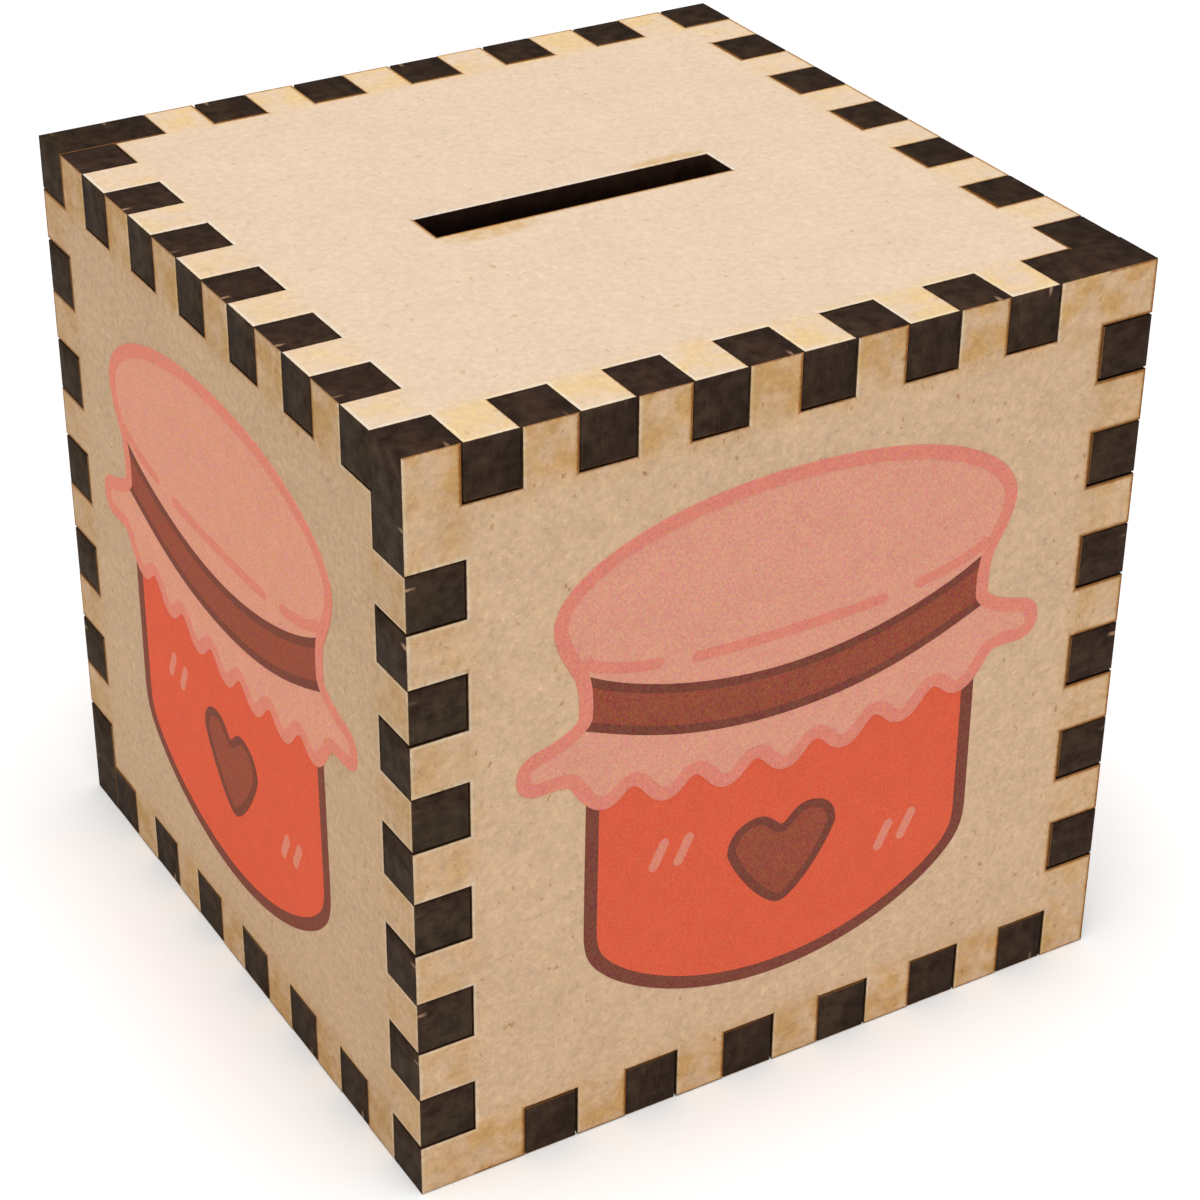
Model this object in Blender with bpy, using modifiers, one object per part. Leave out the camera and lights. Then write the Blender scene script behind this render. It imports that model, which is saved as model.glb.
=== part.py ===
"""Wooden money box: six laser-cut board panels with finger joints, a coin slot and a stopper.

Units are metres, +Z is up. The origin is at the centre of the base, where the box stands.
The front faces -Y. Every outline is drawn as it is seen from outside the box.
"""

import math

import bmesh
import bpy
from mathutils import Matrix, Vector

# Driving dimensions
UNITS_PER_SIDE = 14          # fingers and gaps along one edge of the cube
BOARD = 0.006                # thickness of the board, and the width of one finger
GAP = 0.0003                 # clearance between two pieces that meet
SLOT_LENGTH = 0.035          # coin slot, along X
SLOT_WIDTH = 0.005
HOLE_RADIUS = 0.016          # emptying hole in the base
REBATE_RADIUS = 0.0195       # shallow seat for the stopper's lip
REBATE_DEPTH = 0.0018
STOPPER_LENGTH = 0.0105      # from the lip's face to the top of the plug
STOPPER_TAPER = 0.0005       # how much narrower the plug is at its top, on the radius

# Sizes that follow from them
UNIT = BOARD
SIDE = UNITS_PER_SIDE * UNIT
HALF = SIDE / 2
NOTCH_DEPTH = BOARD + GAP    # a notch clears the board that sits in it
CENTRE_OF_BOARD = HALF - BOARD / 2

LIP_RADIUS = REBATE_RADIUS - GAP
LIP_FACE = GAP               # the lip stays just inside the base, so the box stands on its board
LIP_THICKNESS = REBATE_DEPTH - 2 * GAP
PLUG_RADIUS = HOLE_RADIUS - GAP
CUP_RADIUS = PLUG_RADIUS - 0.0028
CUP_DEPTH = STOPPER_LENGTH - 0.0022
PULL_BAR_THICKNESS = 0.003
PULL_BAR_HEIGHT = CUP_DEPTH - 0.0018
ROUND_STEPS = 72
FILLET = 0.0005              # rounding on the moulded stopper
WELD = 0.000005              # points this close are one point


def clear_scene():
    for old in list(bpy.data.objects):
        bpy.data.objects.remove(old, do_unlink=True)


def collection_named(name):
    made = bpy.data.collections.new(name)
    bpy.context.scene.collection.children.link(made)
    return made


def material(name, colour, roughness, metallic=0.0):
    made = bpy.data.materials.new(name)
    made.use_nodes = True
    shader = made.node_tree.nodes["Principled BSDF"]
    shader.inputs["Base Color"].default_value = (*colour, 1.0)
    shader.inputs["Roughness"].default_value = roughness
    shader.inputs["Metallic"].default_value = metallic
    made.diffuse_color = (*colour, 1.0)
    return made


# Each edge is a list of (distance along the edge, depth in from it), walked anticlockwise.

def notched_edge():
    """One edge of the front or back board: it keeps both corners and holds six notches."""
    points = [(0.0, 0.0)]
    for start in range(2, UNITS_PER_SIDE - 1, 2):
        left = start * UNIT - GAP / 2
        right = (start + 1) * UNIT + GAP / 2
        points += [(left, 0.0), (left, NOTCH_DEPTH), (right, NOTCH_DEPTH), (right, 0.0)]
    return points


def fingered_edge(first_finger):
    """One edge of the other boards: six fingers, which start or end at an inner corner."""
    touches_start = first_finger == 1
    points = []
    for start in range(first_finger, UNITS_PER_SIDE - 1, 2):
        left = start * UNIT + GAP / 2
        right = (start + 1) * UNIT - GAP / 2
        if start > 1:
            points.append((left, NOTCH_DEPTH))
        points += [(left, 0.0), (right, 0.0)]
        if start + 2 < UNITS_PER_SIDE:
            points.append((right, NOTCH_DEPTH))
    if touches_start:
        points.append((SIDE - NOTCH_DEPTH, NOTCH_DEPTH))
    else:
        points.append((SIDE - UNIT - GAP / 2, UNIT + GAP / 2))
    return points


def outline(edges):
    """The four edges joined into one loop about the board's centre."""
    loop = []
    for quarter, edge in enumerate(edges):
        turn = Matrix.Rotation(quarter * math.pi / 2, 2)
        loop += [turn @ Vector((along - HALF, depth - HALF)) for along, depth in edge]
    return loop


def end_outline():
    return outline([notched_edge()] * 4)


def lid_outline():
    return outline([fingered_edge(1), fingered_edge(2)] * 2)


def wall_outline():
    return outline([fingered_edge(2), fingered_edge(1)] * 2)


def slot_outline():
    x, y = SLOT_LENGTH / 2, SLOT_WIDTH / 2
    return [Vector(corner) for corner in ((-x, -y), (x, -y), (x, y), (-x, y))]


def circle_outline(radius):
    turns = [2 * math.pi * step / ROUND_STEPS for step in range(ROUND_STEPS)]
    return [Vector((radius * math.cos(turn), radius * math.sin(turn))) for turn in turns]


def mesh_from(curve_object):
    """A filled curve turned into a closed mesh, in the same place."""
    graph = bpy.context.evaluated_depsgraph_get()
    mesh = bpy.data.meshes.new_from_object(curve_object.evaluated_get(graph))
    name = curve_object.name
    world = curve_object.matrix_world.copy()
    home = curve_object.users_collection[0]
    bpy.data.objects.remove(curve_object, do_unlink=True)
    solid = bmesh.new()
    solid.from_mesh(mesh)
    bmesh.ops.remove_doubles(solid, verts=solid.verts, dist=WELD)
    solid.to_mesh(mesh)
    solid.free()
    mesh_object = bpy.data.objects.new(name, mesh)
    home.objects.link(mesh_object)
    mesh_object.matrix_world = world
    return mesh_object


def board(name, loops, location, rotation, finish, home):
    """A flat board: the first loop is its outline and the others are holes through it."""
    curve = bpy.data.curves.new(name, "CURVE")
    curve.dimensions = "2D"
    curve.fill_mode = "BOTH"
    curve.extrude = BOARD / 2
    for loop in loops:
        spline = curve.splines.new("POLY")
        spline.points.add(len(loop) - 1)
        for point, (x, y) in zip(spline.points, loop):
            point.co = (x, y, 0.0, 1.0)
        spline.use_cyclic_u = True
    made = bpy.data.objects.new(name, curve)
    made.location = location
    made.rotation_euler = rotation
    home.objects.link(made)
    bpy.context.view_layer.update()
    made = mesh_from(made)
    made.data.materials.clear()
    made.data.materials.append(finish)
    return made


def turned(name, profile, home):
    """A round piece about Z, from a profile of (radius, height) that runs down its outer side."""
    mesh = bpy.data.meshes.new(name)
    points = [(radius, 0.0, height) for radius, height in profile]
    mesh.from_pydata(points, [(i, i + 1) for i in range(len(points) - 1)], [])
    made = bpy.data.objects.new(name, mesh)
    home.objects.link(made)
    screw = made.modifiers.new("turn", "SCREW")
    screw.steps = ROUND_STEPS
    screw.render_steps = ROUND_STEPS
    screw.use_merge_vertices = True
    screw.merge_threshold = 0.00001
    screw.use_smooth_shade = True
    return made


def box(name, size, location, home):
    bpy.ops.mesh.primitive_cube_add(size=1.0, location=location)
    made = bpy.context.object
    made.name = name
    made.scale = size
    bpy.ops.object.transform_apply(location=False, rotation=False, scale=True)
    for other in list(made.users_collection):
        other.objects.unlink(made)
    home.objects.link(made)
    return made


def hide_cutter(cutter):
    cutter.hide_render = True
    cutter.display_type = "WIRE"


def boolean(target, cutter, operation, solver="EXACT"):
    step = target.modifiers.new(cutter.name, "BOOLEAN")
    step.operation = operation
    step.solver = solver
    step.object = cutter
    hide_cutter(cutter)


def make_boards(home, cutters):
    wood = material("board_face", (0.70, 0.47, 0.29), 0.72)
    quarter = math.pi / 2
    board("front_panel", [end_outline()], (0, -CENTRE_OF_BOARD, HALF), (quarter, 0, 0), wood, home)
    board("back_panel", [end_outline()], (0, CENTRE_OF_BOARD, HALF), (quarter, 0, math.pi), wood, home)
    board("left_panel", [wall_outline()], (-CENTRE_OF_BOARD, 0, HALF), (quarter, 0, -quarter), wood, home)
    board("right_panel", [wall_outline()], (CENTRE_OF_BOARD, 0, HALF), (quarter, 0, quarter), wood, home)
    board("top_panel", [lid_outline(), slot_outline()], (0, 0, SIDE - BOARD / 2), (0, 0, 0), wood, home)
    base = board("bottom_panel", [lid_outline(), circle_outline(HOLE_RADIUS)],
                 (0, 0, BOARD / 2), (math.pi, 0, 0), wood, home)
    bpy.ops.mesh.primitive_cylinder_add(vertices=ROUND_STEPS, radius=REBATE_RADIUS, depth=2 * REBATE_DEPTH)
    rebate = bpy.context.object
    rebate.name = "stopper_rebate"
    for other in list(rebate.users_collection):
        other.objects.unlink(rebate)
    cutters.objects.link(rebate)
    # The board's faces hold long thin triangles between the notches, which EXACT leaves open.
    boolean(base, rebate, "DIFFERENCE", solver="MANIFOLD")


def make_stopper(home, cutters):
    """A moulded plug with a lip below the base, and a pull bar across the cup in its face."""
    rubber = material("stopper_rubber", (0.030, 0.029, 0.028), 0.62)
    top = LIP_FACE + STOPPER_LENGTH
    lip_top = LIP_FACE + LIP_THICKNESS
    profile = [
        (0.0, top),
        (PLUG_RADIUS - STOPPER_TAPER - FILLET, top),
        (PLUG_RADIUS - STOPPER_TAPER, top - FILLET),
        (PLUG_RADIUS, lip_top),
        (LIP_RADIUS - FILLET / 2, lip_top),
        (LIP_RADIUS, lip_top - FILLET / 2),
        (LIP_RADIUS, LIP_FACE + FILLET / 2),
        (LIP_RADIUS - FILLET / 2, LIP_FACE),
        (CUP_RADIUS + FILLET, LIP_FACE),
        (CUP_RADIUS, LIP_FACE + FILLET),
        (CUP_RADIUS - FILLET, LIP_FACE + CUP_DEPTH - FILLET),
        (CUP_RADIUS - 2 * FILLET, LIP_FACE + CUP_DEPTH),
        (0.0, LIP_FACE + CUP_DEPTH),
    ]
    stopper = turned("base_stopper", profile, home)
    stopper.data.materials.append(rubber)
    reach = FILLET               # the bar runs this far into the wall and the roof of the cup
    bar_centre = LIP_FACE + CUP_DEPTH + reach - (PULL_BAR_HEIGHT + reach) / 2
    bar = box("pull_bar", (2 * (CUP_RADIUS + reach), PULL_BAR_THICKNESS, PULL_BAR_HEIGHT + reach),
              (0, 0, bar_centre), cutters)
    boolean(stopper, bar, "UNION")


clear_scene()
parts = collection_named("wooden_money_box")
helpers = collection_named("cutters")
make_boards(parts, helpers)
make_stopper(parts, helpers)
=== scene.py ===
"""Looks of the wooden money box: six laser-cut fibreboards with finger joints, a printed jam jar
on each side, a coin slot in the top and a rubber stopper in the base.

Metres, +Z up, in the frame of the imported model. Outlines are drawn as seen from outside the box.
"""

import math

import bmesh
import bpy
from mathutils import Matrix, Vector


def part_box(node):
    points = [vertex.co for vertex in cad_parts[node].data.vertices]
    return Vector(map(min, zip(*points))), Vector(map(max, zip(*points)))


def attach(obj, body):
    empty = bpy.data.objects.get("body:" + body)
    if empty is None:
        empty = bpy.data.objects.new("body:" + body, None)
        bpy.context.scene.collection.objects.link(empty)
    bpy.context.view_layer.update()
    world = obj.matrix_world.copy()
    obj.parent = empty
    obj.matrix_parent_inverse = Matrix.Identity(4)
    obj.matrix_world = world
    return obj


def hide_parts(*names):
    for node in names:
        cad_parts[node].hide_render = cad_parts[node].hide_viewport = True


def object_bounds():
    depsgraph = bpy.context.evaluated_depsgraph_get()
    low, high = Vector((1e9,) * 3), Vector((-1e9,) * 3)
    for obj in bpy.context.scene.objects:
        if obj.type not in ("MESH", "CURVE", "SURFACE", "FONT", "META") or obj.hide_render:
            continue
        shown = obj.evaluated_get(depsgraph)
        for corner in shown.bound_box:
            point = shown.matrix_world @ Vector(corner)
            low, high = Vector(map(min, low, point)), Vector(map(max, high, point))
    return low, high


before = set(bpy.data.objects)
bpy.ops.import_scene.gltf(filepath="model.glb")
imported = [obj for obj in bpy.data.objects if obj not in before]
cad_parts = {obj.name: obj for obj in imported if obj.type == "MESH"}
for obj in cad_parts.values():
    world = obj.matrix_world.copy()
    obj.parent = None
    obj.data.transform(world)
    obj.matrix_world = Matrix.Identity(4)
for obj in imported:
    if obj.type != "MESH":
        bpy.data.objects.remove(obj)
cad_low, cad_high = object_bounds()

MM = 0.001

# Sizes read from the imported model
SIDE = cad_high.x - cad_low.x
HALF = SIDE / 2
CENTRE = (cad_low + cad_high) / 2
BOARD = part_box("top_panel")[1].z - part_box("top_panel")[0].z
CELLS = round(SIDE / BOARD)

# Numbers of the boards, which the materials read as stock. The walls run anticlockwise.
FRONT, RIGHT, BACK, LEFT, TOP, BASE = range(6)

# Sizes of the cut boards
CLEARANCE = 0.22 * MM         # between a finger and its notch
LEAN = 0.08 * MM              # fingers sit to one side of their notches, so the gap shows on the other
ARRIS = 0.08 * MM             # rounding where the beam left the face
SCORCH_REACH = 0.9 * MM       # how far the brown edge runs in from a cut
TIP_UNEVENNESS = 0.07 * MM    # how far a finger tip may lie below the outside face
# Painted shade on the left board
LEFT_SHADE_TONE = 0.93              # the left board is a little darker than the others
SLOT_LENGTH = 35.0 * MM
SLOT_WIDTH = 5.0 * MM
HOLE_RADIUS = 16.0 * MM
REBATE_RADIUS = 19.5 * MM
REBATE_DEPTH = 1.8 * MM
HOLE_STEPS = 96
SMALLEST_CUT_OUT = 0.1 * MM   # a slot or hole under this size is left out
BOARD_WELD = 0.002 * MM       # points this close are one point

# Sizes of the print
INK = 0.012 * MM              # one layer of ink
OUTLINE_WIDTH = 1.5 * MM
THIN_WIDTH = 1.0 * MM
SHINE_WIDTH = 1.15 * MM
FILM_WELD = 0.0005 * MM
SHORTEST_CAP = 0.01 * MM      # keeps the very end of a drawn line from closing to a point

# The frilled edge of the jar's cloth, in millimetres
FRILL_WAVES = 7
FRILL_PITCH = 3.55
FRILL_HEIGHT = 1.15
FRILL_MIDDLE = -2.5
FRILL_SAG = 0.0052            # how fast the edge rises to the sides


# ---------------------------------------------------------------- node helpers

class Field:
    """The value at one socket. Arithmetic on it adds the maths nodes that work it out."""

    def __init__(self, socket):
        self.socket = socket

    def is_vector(self):
        return self.socket.type in ("VECTOR", "RGBA")

    def worked(self, operation, *values):
        graph = Graph(self.socket.id_data)
        tuples = any(isinstance(value, tuple) for value in values)
        vectors = any(isinstance(value, Field) and value.is_vector() for value in values)
        return (graph.vector if tuples or vectors else graph.maths)(operation, *values)

    def __abs__(self):
        return self.worked("ABSOLUTE", self)

    def __gt__(self, other):
        return self.worked("GREATER_THAN", self, other)

    def __lt__(self, other):
        return self.worked("LESS_THAN", self, other)


def add_operator(name, operation):
    """Lets a field stand on either side of an arithmetic sign."""
    setattr(Field, f"__{name}__", lambda self, other: self.worked(operation, self, other))
    setattr(Field, f"__r{name}__", lambda self, other: self.worked(operation, other, self))


for operator_name, node_operation in (("add", "ADD"), ("sub", "SUBTRACT"), ("mul", "MULTIPLY"),
                                      ("truediv", "DIVIDE"), ("mod", "MODULO")):
    add_operator(operator_name, node_operation)


class Outputs:
    """A node's outputs, by name or number, as fields."""

    def __init__(self, sockets):
        self.sockets = sockets

    def __getitem__(self, key):
        return Field(self.sockets[key])


class Node:
    def __init__(self, made):
        self.inputs = made.inputs
        self.outputs = Outputs(made.outputs)


class Graph:
    """Adds nodes to one tree and joins them."""

    def __init__(self, tree):
        self.tree = tree

    def feed(self, socket, value):
        if isinstance(value, Field):
            self.tree.links.new(value.socket, socket)
        elif value is not None:
            socket.default_value = value

    def node(self, kind, inputs=None, **settings):
        made = self.tree.nodes.new(kind)
        for name, value in settings.items():
            setattr(made, name, value)
        for key, value in (inputs or {}).items():
            self.feed(made.inputs[key], value)
        return Node(made)

    def maths(self, operation, *values):
        made = self.node("ShaderNodeMath", operation=operation)
        for socket, value in zip(made.inputs, values):
            self.feed(socket, value)
        return made.outputs[0]

    def vector(self, operation, *values, out=0):
        made = self.node("ShaderNodeVectorMath", operation=operation)
        for socket, value in zip(made.inputs, values):
            self.feed(socket, value)
        return made.outputs[out]

    def scaled(self, vector, factor):
        return self.node("ShaderNodeVectorMath", {
            0: vector, "Scale": factor}, operation="SCALE").outputs[0]

    def xyz(self, x, y, z):
        return self.node("ShaderNodeCombineXYZ", {0: x, 1: y, 2: z}).outputs[0]

    def parts_of(self, vector):
        return self.node("ShaderNodeSeparateXYZ", {0: vector}).outputs

    def ramp(self, value, start, end, low=0.0, high=1.0):
        """A smooth step from low to high as the value goes from start to end."""
        return self.node("ShaderNodeMapRange", {
            "Value": value, "From Min": start, "From Max": end, "To Min": low, "To Max": high,
        }, interpolation_type="SMOOTHSTEP").outputs[0]

    def mix(self, factor, a, b, blend="MIX"):
        made = self.node("ShaderNodeMix", {0: factor, 6: a, 7: b}, data_type="RGBA", blend_type=blend)
        return made.outputs[2]

    def tinted(self, amount, colour, tint):
        """The colour multiplied by a tint, as far as the amount says."""
        return self.mix(amount, colour, self.mix(1.0, colour, tint, "MULTIPLY"))

    def noise(self, place, scale, detail=2.0, roughness=0.5, output="Fac"):
        return self.node("ShaderNodeTexNoise", {
            "Vector": place, "Scale": scale, "Detail": detail, "Roughness": roughness}).outputs[output]

    def store(self, geometry, name, value, kind="FLOAT", domain="POINT", selection=None):
        return self.node("GeometryNodeStoreNamedAttribute", {
            "Geometry": geometry, "Selection": selection, "Name": name, "Value": value,
        }, data_type=kind, domain=domain).outputs[0]

    def stored(self, name, kind="FLOAT"):
        return self.node("GeometryNodeInputNamedAttribute", {"Name": name}, data_type=kind).outputs[0]

    def moved(self, geometry, position=None, offset=None, selection=None):
        return self.node("GeometryNodeSetPosition", {
            "Geometry": geometry, "Selection": selection, "Position": position, "Offset": offset,
        }).outputs[0]

    def together(self, *geometries):
        made = self.node("GeometryNodeJoinGeometry")
        for geometry in geometries:
            self.feed(made.inputs[0], geometry)
        return made.outputs[0]

    def welded(self, geometry, distance):
        return self.node("GeometryNodeMergeByDistance", {
            "Geometry": geometry, "Distance": distance}).outputs[0]

    def painted(self, geometry, material):
        real = self.node("GeometryNodeRealizeInstances", {"Geometry": geometry}).outputs[0]
        return self.node("GeometryNodeSetMaterial", {"Geometry": real, "Material": material}).outputs[0]


SOCKETS = {
    float: "NodeSocketFloat",
    int: "NodeSocketInt",
    bool: "NodeSocketBool",
    tuple: "NodeSocketVector",
    "geometry": "NodeSocketGeometry",
    "material": "NodeSocketMaterial",
    "colour": "NodeSocketColor",
}


def group(name, kind, inputs, outputs):
    """A node group with named sockets. Returns its graph, its inputs and its output node."""
    tree = bpy.data.node_groups.new(name, kind)
    for label, default in inputs.items():
        key = default if isinstance(default, str) else type(default)
        socket = tree.interface.new_socket(label, in_out="INPUT", socket_type=SOCKETS[key])
        if not isinstance(default, str):
            socket.default_value = default
    for label, key in outputs.items():
        tree.interface.new_socket(label, in_out="OUTPUT", socket_type=SOCKETS[key])
    graph = Graph(tree)
    given = graph.node("NodeGroupInput").outputs
    result = graph.node("NodeGroupOutput")
    return graph, given, result


def shape_group(name, inputs, outputs=None):
    return group(name, "GeometryNodeTree", inputs, outputs or {"Geometry": "geometry"})


def shader_group(name, inputs, outputs):
    return group(name, "ShaderNodeTree", inputs, outputs)


def placed(graph, tree, inputs):
    """One use of a node group inside another tree."""
    kind = "GeometryNodeGroup" if tree.bl_idname == "GeometryNodeTree" else "ShaderNodeGroup"
    made = graph.node(kind, node_tree=tree)
    for key, value in inputs.items():
        graph.feed(made.inputs[key], value)
    return made


def grown(name, tree, values, source=None):
    """Evaluates a geometry tree on an object and returns the result as a plain mesh object."""
    start = source or bpy.data.objects.new(name + "_start", bpy.data.meshes.new(name + "_start"))
    if source is None:
        bpy.context.scene.collection.objects.link(start)
    modifier = start.modifiers.new("shape", "NODES")
    modifier.node_group = tree
    sockets = {item.name: item.identifier for item in tree.interface.items_tree if item.in_out == "INPUT"}
    for label, value in values.items():
        modifier[sockets[label]] = value
    graph = bpy.context.evaluated_depsgraph_get()
    mesh = bpy.data.meshes.new_from_object(start.evaluated_get(graph))
    bpy.data.objects.remove(start, do_unlink=True)
    made = bpy.data.objects.new(name, mesh)
    mesh.name = name
    bpy.context.scene.collection.objects.link(made)
    return made


# ---------------------------------------------------------------- cut boards

def finger_outline_tree():
    """The closed outline of a finger-jointed board, from one rule for each cell along its edges.

    A board that keeps its corners has notches at the even cells. Any other board has fingers,
    at the odd cells of one pair of edges and at the even cells of the other pair.
    """
    graph, given, result = shape_group("finger_outline", {
        "Side": SIDE, "Finger Width": BOARD, "Clearance": CLEARANCE, "Cells": CELLS,
        "Odd First": 1, "Keeps Corners": False, "Tip Unevenness": TIP_UNEVENNESS, "Seed": 0,
        "Lean": (0.0, 0.0, 0.0),
    }, {"Curve": "geometry"})
    side, width, clearance = given["Side"], given["Finger Width"], given["Clearance"]
    cells, keeps = given["Cells"], given["Keeps Corners"]
    last = cells - 1

    index = graph.node("GeometryNodeInputIndex").outputs[0]
    per_edge = cells * 2
    edge = graph.maths("FLOOR", index / per_edge)
    step = index - edge * per_edge
    cell = graph.maths("FLOOR", step / 2)
    end = step % 2
    boundary = cell + end
    turned = (given["Odd First"] + edge) % 2
    parity = graph.maths("MAXIMUM", turned, keeps)

    def stands_out(which):
        """1 where the board reaches the outside face in this cell, 0 in a notch."""
        inner = (which > 0.5) * (which < last - 0.5)
        odd = (which + 2) % 2
        matches = graph.maths("COMPARE", odd, parity, 0.1)
        corner = keeps * (1 - inner)
        return graph.maths("MAXIMUM", inner * matches, corner)

    out_here = stands_out(cell)
    out_before = stands_out(cell - 1)
    out_after = stands_out(cell + 1)
    left_of_boundary = stands_out(boundary - 1)
    right_of_boundary = stands_out(boundary)

    half_gap = clearance * 0.5
    notch = width + clearance
    beside_finger = width + half_gap

    def corner_depth(finger_is_next):
        reach = finger_is_next * beside_finger + (1 - finger_is_next) * notch
        return reach * (1 - keeps)

    near = corner_depth(parity)
    far = corner_depth(1 - parity)

    angle = edge * (math.pi / 2)
    forwards = graph.xyz(graph.maths("COSINE", angle), graph.maths("SINE", angle), 0.0)
    leaning = graph.vector("DOT_PRODUCT", given["Lean"], forwards, out=1)
    rise = right_of_boundary - left_of_boundary
    shift = rise * half_gap + abs(rise) * leaning
    along = boundary * width + shift
    along = along * (boundary > 0.5)
    beyond = boundary > cells - 0.5
    along = along + beyond * width
    along = graph.maths("MAXIMUM", along, near)
    along = graph.maths("MINIMUM", along, side - far)

    alone = out_here * ((1 - out_before) * (1 - out_after))
    chance = graph.node("FunctionNodeRandomValue", {
        "ID": edge * cells + cell, "Seed": given["Seed"]}).outputs[1]
    tip = alone * chance * given["Tip Unevenness"]
    in_notch = (1 - out_here) * notch
    depth = tip + in_notch
    first = cell < 0.5
    final = cell > last - 0.5
    middle = 1 - first - final
    depth = depth * middle + (first * near + final * far)

    half = side * 0.5
    flat = graph.xyz(along - half, depth - half, 0.0)
    place = graph.node("ShaderNodeVectorRotate", {"Vector": flat, "Angle": angle}, rotation_type="Z_AXIS")

    line = graph.node("GeometryNodeMeshLine", {"Count": per_edge * 4})
    merged = graph.welded(graph.moved(line.outputs[0], place.outputs[0]), BOARD_WELD)
    curve = graph.node("GeometryNodeMeshToCurve", {"Mesh": merged})
    graph.feed(result.inputs[0], curve.outputs[0])
    return graph.tree


def cut_board_tree():
    """A board cut along closed outlines, with rounded arrises and the marks that shaders read.

    The outside outline runs anticlockwise and holes run clockwise, so the board is on the left.
    An outline that carries a step is wider by that much down to the step's depth.
    Stores burn (1 on a cut wall, fading over the face) and place (the point on the flat board).
    An outline that carries the mark for painted shade inside a slot or hole passes it to its walls.
    """
    graph, given, result = shape_group("cut_board", {
        "Outlines": "geometry", "Thickness": BOARD, "Arris": ARRIS, "Scorch Reach": SCORCH_REACH,
        "Step Depth": REBATE_DEPTH,
    })
    position = graph.node("GeometryNodeInputPosition").outputs[0]
    index = graph.node("GeometryNodeInputIndex").outputs[0]

    def neighbour(offset):
        other = graph.node("GeometryNodeOffsetPointInCurve", {"Point Index": index, "Offset": offset})
        return graph.node("GeometryNodeFieldAtIndex", {"Index": other.outputs[1], "Value": position},
                          data_type="FLOAT_VECTOR").outputs[0]

    def leftward(start, end):
        """The unit vector to the left of the way from start to end."""
        x, y, _ = graph.parts_of(graph.vector("NORMALIZE", end - start))
        return graph.xyz(y * -1, x, 0.0)

    before = leftward(neighbour(-1), position)
    after = leftward(position, neighbour(1))
    opening = graph.vector("DOT_PRODUCT", before, after, out=1) + 1
    inward = graph.scaled(before + after, 1 / opening)
    marked = graph.store(given["Outlines"], "inward", inward, "FLOAT_VECTOR")
    marked = graph.store(marked, "line", position, "FLOAT_VECTOR")
    stored_inward = graph.stored("inward", "FLOAT_VECTOR")
    stored_line = graph.stored("line", "FLOAT_VECTOR")

    step = graph.stored("step")
    top = given["Thickness"] * 0.5
    step_height = top - given["Step Depth"]
    arris, reach = given["Arris"], given["Scorch Reach"]
    turn = arris * 0.3
    # How far in from the cut, how high, and how burnt, from the face down to the cut wall
    face_side = [
        (reach, top, 0.0),
        (reach * 0.35, top, 0.35),
        (arris, top, 0.7),
        (turn, top - turn, 0.9),
        (0.0, top - arris, 1.0),
    ]
    rows = [(step + inset, height, burn) for inset, height, burn in face_side]
    rows += [(step, step_height, 1.0), (0.0, step_height, 1.0)]
    rows += [(inset, height * -1, burn) for inset, height, burn in reversed(face_side)]

    def row_place(inset, height):
        return stored_line + graph.scaled(stored_inward, inset) + graph.xyz(0.0, 0.0, height)

    def face_cap(inset, height):
        inner = graph.moved(marked, row_place(inset, 0.0))
        flat = graph.node("GeometryNodeFillCurve", {"Curve": inner}, mode="NGONS").outputs[0]
        return graph.moved(graph.store(flat, "burn", 0.0), offset=graph.xyz(0.0, 0.0, height))

    inset, height, burn = rows[0]
    wire = graph.node("GeometryNodeCurveToMesh", {"Curve": marked}).outputs[0]
    rim = graph.store(graph.moved(wire, row_place(inset, height)), "burn", burn)
    newest = None
    for inset, height, burn in rows[1:]:
        pulled = graph.node("GeometryNodeExtrudeMesh", {
            "Mesh": rim, "Selection": newest, "Offset Scale": 0.0}, mode="EDGES")
        newest = pulled.outputs["Top"]
        rim = graph.moved(pulled.outputs[0], row_place(inset, height), selection=newest)
        rim = graph.store(rim, "burn", burn, selection=newest)

    upper = face_cap(rows[0][0], top)
    lower = graph.node("GeometryNodeFlipFaces", {"Mesh": face_cap(reach, top * -1)}).outputs[0]
    solid = graph.welded(graph.together(rim, upper, lower), BOARD_WELD)
    graph.feed(result.inputs[0], graph.store(solid, "place", position, "FLOAT_VECTOR"))
    return graph.tree


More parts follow.
